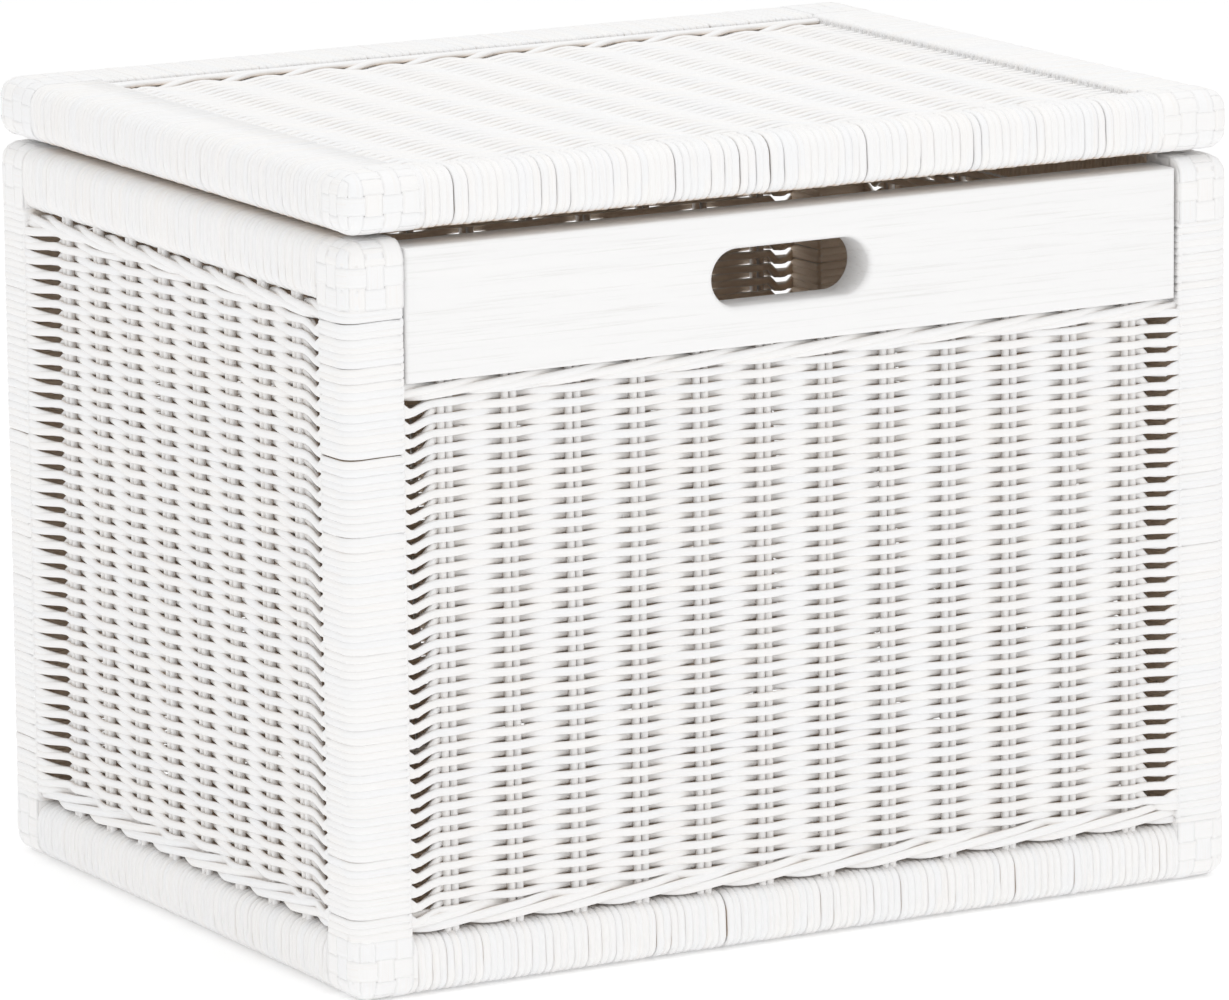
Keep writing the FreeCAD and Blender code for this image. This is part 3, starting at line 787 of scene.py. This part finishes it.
def cap_family(low, high, axis, outward):
    """Strips of peel round one axis of a cap, which go over and under the other two families."""
    others = other_axes(axis)
    shrink = PEEL["thick"] + PEEL["lift"]
    inner_low, inner_high = low + shrink, high - shrink
    size = high - low
    cells = np.maximum(np.round(size / (2 * PEEL["wide"])).astype(int), 2)
    corners = rectangle_corners(inner_low[others], inner_high[others])
    outline, face, crossing = [], [], []
    for number in range(4):
        a, b = np.array(corners[number]), np.array(corners[(number + 1) % 4])
        along = others[number % 2]
        steps = cells[along] * CAP_STEPS
        share = np.arange(steps) / steps
        outline.append(a + (b - a) * share[:, None])
        forward = share if number in (0, 1) else 1 - share
        crossing.append(forward * cells[along] - 0.5)
        face.append(np.full(steps, along))
    outline, face, crossing = np.concatenate(outline), np.concatenate(face), np.concatenate(crossing)
    strips = cells[axis]
    step = size[axis] / strips
    strip_middles = (np.arange(strips) + 0.5) / strips * (size[axis] - 2 * shrink)
    base = np.empty((strips, len(outline), 3))
    base[..., others] = outline
    base[..., axis] = (inner_low[axis] + strip_middles)[:, None]
    round_low = np.where(outward <= 0, OUTER_RADIUS - shrink, CAP_INNER_RADIUS)
    round_high = np.where(outward >= 0, OUTER_RADIUS - shrink, CAP_INNER_RADIUS)
    # two families meet on each face: the one with the lower axis number goes over the even cells
    sign = np.where(axis < face, 1, -1) * (-1.0) ** np.arange(strips)[:, None]
    lift = PEEL["lift"] * np.cos(np.pi * crossing) * sign
    half = (step - 2 * shrink / strips) / 2 * (1.0 + RANDOM.normal(0, UNEVEN_PEEL, (strips, 1)))
    part = tubes(base, AXES[axis], half, PEEL["thick"], PEEL["squareness"], closed=True)
    # each strip bends across its width too, as it follows the rounded edges
    sections = part["cane"].reshape(strips, len(outline), TUBE_SIDES, 3)
    flat = np.repeat(base[:, :, None], TUBE_SIDES, 2)
    flat[..., axis] = np.clip(flat[..., axis] + sections[..., 1], inner_low[axis], inner_high[axis])
    surface, normal = rounded_box(flat, inner_low, inner_high, round_low, round_high)
    outward_sign = -1 if axis == 1 else 1
    height = sections[..., 2:] * outward_sign + lift[..., None, None]
    part["vertices"] = (surface + normal * height).reshape(-1, 3)
    part["normal"] = normal.reshape(-1, 3)
    return part


def liner(low, high):
    """A plain rounded block under the strands, so that nothing shows through between them."""
    low, high = low + LINER_INSET, high - LINER_INSET
    count = LINER_CELLS + 1
    grid = np.linspace(-1, 1, count)
    u, v = np.meshgrid(grid, grid, indexing="ij")
    vertices, quads = [], []
    index = np.arange(count**2).reshape(count, count)
    square = np.stack([index[:-1, :-1], index[1:, :-1], index[1:, 1:], index[:-1, 1:]], -1)
    square = square.reshape(-1, 4)
    for axis in range(3):
        for sign in (-1, 1):
            face = np.empty((count**2, 3))
            face[:, axis] = sign
            face[:, (axis + 1) % 3] = u.ravel()
            face[:, (axis + 2) % 3] = v.ravel()
            quads.append((square if sign > 0 else square[:, ::-1]) + len(vertices) * count**2)
            vertices.append(face)
    cube = np.concatenate(vertices)
    middle, half = (low + high) / 2, (high - low) / 2
    radius = OUTER_RADIUS - LINER_INSET
    points, _ = rounded_box(middle + cube * half, low, high, radius, radius)
    return {
        "vertices": points,
        "normal": unit(cube),
        "cane": points,
        "tone": np.full(len(points), 0.5),
        "faces": [np.concatenate(quads)],
    }


def cap_parts(low, high, outward):
    return [cap_family(low, high, axis, outward) for axis in range(3)] + [liner(low, high)]


def corner_caps():
    outer = box("bottom_corner_caps")
    post_low, post_high = box("post_wrap_front_left")
    rail_low, rail_high = box("lid_rail_wrap_left")
    post_size = post_high - post_low
    lid_width = rail_high[0] - rail_low[0]
    lid_depths = {"front": rail_low[1] - outer[0][1], "back": outer[1][1] - rail_high[1]}
    groups = {
        "bottom_corner_caps": ("bottom_caps", TRUNK, -1),
        "top_corner_caps": ("top_caps", TRUNK, 1),
        "lid_corner_caps": ("lid_caps", LID, 0),
    }
    for node, (name, body, level) in groups.items():
        low, high = box(node)
        parts = []
        for end, side in CORNERS:
            width, depth = (lid_width, lid_depths[end]) if body == LID else post_size[:2]
            cap_low, cap_high = low.copy(), high.copy()
            if side == "left":
                cap_high[0] = low[0] + width
            else:
                cap_low[0] = high[0] - width
            if end == "front":
                cap_high[1] = low[1] + depth
            else:
                cap_low[1] = high[1] - depth
            outward = np.array([SIGNS[side], SIGNS[end], level])
            parts += cap_parts(cap_low, cap_high, outward)
        piece(name, parts, PAINTED, body, [node], all_painted)


# --- front board ---------------------------------------------------------------------------------


def stadium(centre, half_length, half_height):
    """Points round the hand slot, counted from its right end."""
    angle = 2 * np.pi * np.arange(BOARD_POINTS) / BOARD_POINTS
    straight = half_length - half_height
    x = np.cos(angle) * half_height + np.sign(np.cos(angle)) * straight
    return np.stack([centre[0] + x, centre[1] + np.sin(angle) * half_height], 1)


def rectangle(centre, low, high, toward):
    """Points on a rectangle in the directions of the points toward, seen from centre. The nearest
    ones are moved to its corners."""
    direction = unit(toward - centre)
    limits = np.where(direction > 0, high - centre, centre - low) / np.maximum(np.abs(direction), 1e-9)
    points = centre + direction * limits.min(1)[:, None]
    for corner in rectangle_corners(low, high):
        points[np.linalg.norm(points - corner, axis=1).argmin()] = corner
    return points


def front_board():
    """Rings of points go round the board's section, from the slot's wall over the front face and the
    edges to the back face and into the slot again."""
    low, high = box("front_board")
    low[0] += BOARD_GAP
    high[0] -= BOARD_GAP
    front, back = low[1], high[1]
    centre = np.array([SLOT["x"], high[2] - SLOT["below_top"]])
    half_length, half_height = SLOT["length"] / 2, SLOT["height"] / 2
    slot_points = stadium(centre, half_length, half_height)
    turn = np.linspace(0, np.pi / 2, ARC_POINTS)
    rings = []

    def slot_ring(grow, depth):
        rings.append((stadium(centre, half_length + grow, half_height + grow), depth))

    def edge_ring(shrink, depth):
        flat_low, flat_high = low[[0, 2]] + shrink, high[[0, 2]] - shrink
        rings.append((rectangle(centre, flat_low, flat_high, slot_points), depth))

    for t in turn:
        slot_ring(SLOT["round"] * (1 - np.cos(t)), front + SLOT["round"] * (1 - np.sin(t)))
    slot_ring(SLOT["round"] * 2, front)
    for t in turn:
        edge_ring(BOARD_ROUND * (1 - np.sin(t)), front + BOARD_ROUND * (1 - np.cos(t)))
    for t in turn[::-1]:
        edge_ring(BOARD_ROUND * (1 - np.sin(t)), back - BOARD_ROUND * (1 - np.cos(t)))
    slot_ring(SLOT["round"] * 2, back)
    for t in turn[::-1]:
        slot_ring(SLOT["round"] * (1 - np.cos(t)), back - SLOT["round"] * (1 - np.sin(t)))
    vertices = np.concatenate([np.insert(flat, 1, depth, 1) for flat, depth in rings])
    quads = ring_quads(1, len(rings), BOARD_POINTS, closed=True)
    part = {
        "vertices": vertices,
        "normal": np.zeros(vertices.shape),
        "cane": vertices,
        "tone": np.zeros(len(vertices)),
        "faces": [quads],
    }
    board = piece(
        "handle_board", [part], BOARD, TRUNK, ["front_board"], all_painted
    )
    board.data.polygons.foreach_set("use_smooth", np.ones(len(quads), bool))
    board.data.set_sharp_from_angle(angle=math.radians(40))


# --- frame pieces that keep their CAD shape ------------------------------------------------------


def carried_over():
    slots = {s["node"]: s["material_slot"] for s in frame["record"]["subparts"]}
    finishes = {"bare_wood": WOOD, "hinge_steel": STEEL}
    for name, item in frame["nodes"].items():
        if slots[name] in finishes:
            item.data.materials.clear()
            item.data.materials.append(finishes[slots[name]])


# --- stage, light and camera ---------------------------------------------------------------------

GROUND_SIZE = 30
GROUND_GAP = 0.5 * MM  # between the ground and the trunk
LIGHT_TARGET = (0, 0, 0.22)
LIGHTS = {  # place, size and power
    "key": ((0.7, -2.8, 1.9), 1.8, 5),
    "fill": ((-2.8, -1.4, 1.5), 1.8, 5),
    "top": ((0.2, -0.3, 3.2), 2.2, 18),
}
SKY_STRENGTH = 0.82
CAMERA_PLACE = (-2.5651, -4.5659, 1.2804)
CAMERA_DEGREES = (-29.35, 11.38, 0.59)  # azimuth, elevation and roll
LENS = 256.7
SENSOR_WIDTH = 36


def stage():
    bpy.ops.mesh.primitive_plane_add(size=GROUND_SIZE, location=(0, 0, -GROUND_GAP))
    ground = bpy.context.object
    ground.name = "ground"
    m = Nodes("ground")
    grain = m.noise(m.place(), (3, 3, 3), 3.0)
    m.shade("Base Color", m.mix(grain, *GROUND_WHITES))
    m.shade("Roughness", 0.9)
    m.shade("Emission Color", (1, 1, 1, 1))
    m.shade("Emission Strength", 0.2)
    ground.data.materials.append(m.material)


def area_light(name, place, size, power):
    data = bpy.data.lights.new(name, "AREA")
    data.shape = "SQUARE"
    data.size = size
    data.energy = power
    item = bpy.data.objects.new(name, data)
    item.location = place
    item.rotation_mode = "QUATERNION"
    item.rotation_quaternion = (Vector(LIGHT_TARGET) - Vector(place)).to_track_quat("-Z", "Y")
    bpy.context.scene.collection.objects.link(item)


def lights():
    world = bpy.data.worlds.new("studio")
    bpy.context.scene.world = world
    world.use_nodes = True
    background = world.node_tree.nodes["Background"]
    background.inputs["Color"].default_value = (1, 1, 1, 1)
    background.inputs["Strength"].default_value = SKY_STRENGTH
    for name, values in LIGHTS.items():
        area_light(name, *values)
    bpy.context.scene.view_settings.view_transform = "Standard"


def camera():
    """Stands well off with a long lens, a little above the lid and round to the left."""
    data = bpy.data.cameras.new("camera")
    data.lens = LENS
    data.sensor_width = SENSOR_WIDTH
    data.clip_end = 100
    item = bpy.data.objects.new("camera", data)
    bpy.context.scene.collection.objects.link(item)
    azimuth, elevation, roll = (math.radians(v) for v in CAMERA_DEGREES)
    flat = math.cos(elevation)
    back = np.array([math.sin(azimuth) * flat, -math.cos(azimuth) * flat, math.sin(elevation)])
    right = np.array([math.cos(azimuth), math.sin(azimuth), 0])
    up = np.cross(back, right)
    c, s = math.cos(roll), math.sin(roll)
    right, up = c * right - s * up, s * right + c * up
    turn = Matrix(np.stack([right, up, back], 1).tolist())
    item.matrix_world = Matrix.Translation(CAMERA_PLACE) @ turn.to_4x4()
    bpy.context.scene.camera = item


carried_over()
wall_panels()
wall_bands()
wound_frame()
corner_caps()
flat_panel("lid", LID, PAINTED, Z)
flat_panel("floor", TRUNK, FLOOR_CANE, -Z)
front_board()
stage()
lights()
camera()
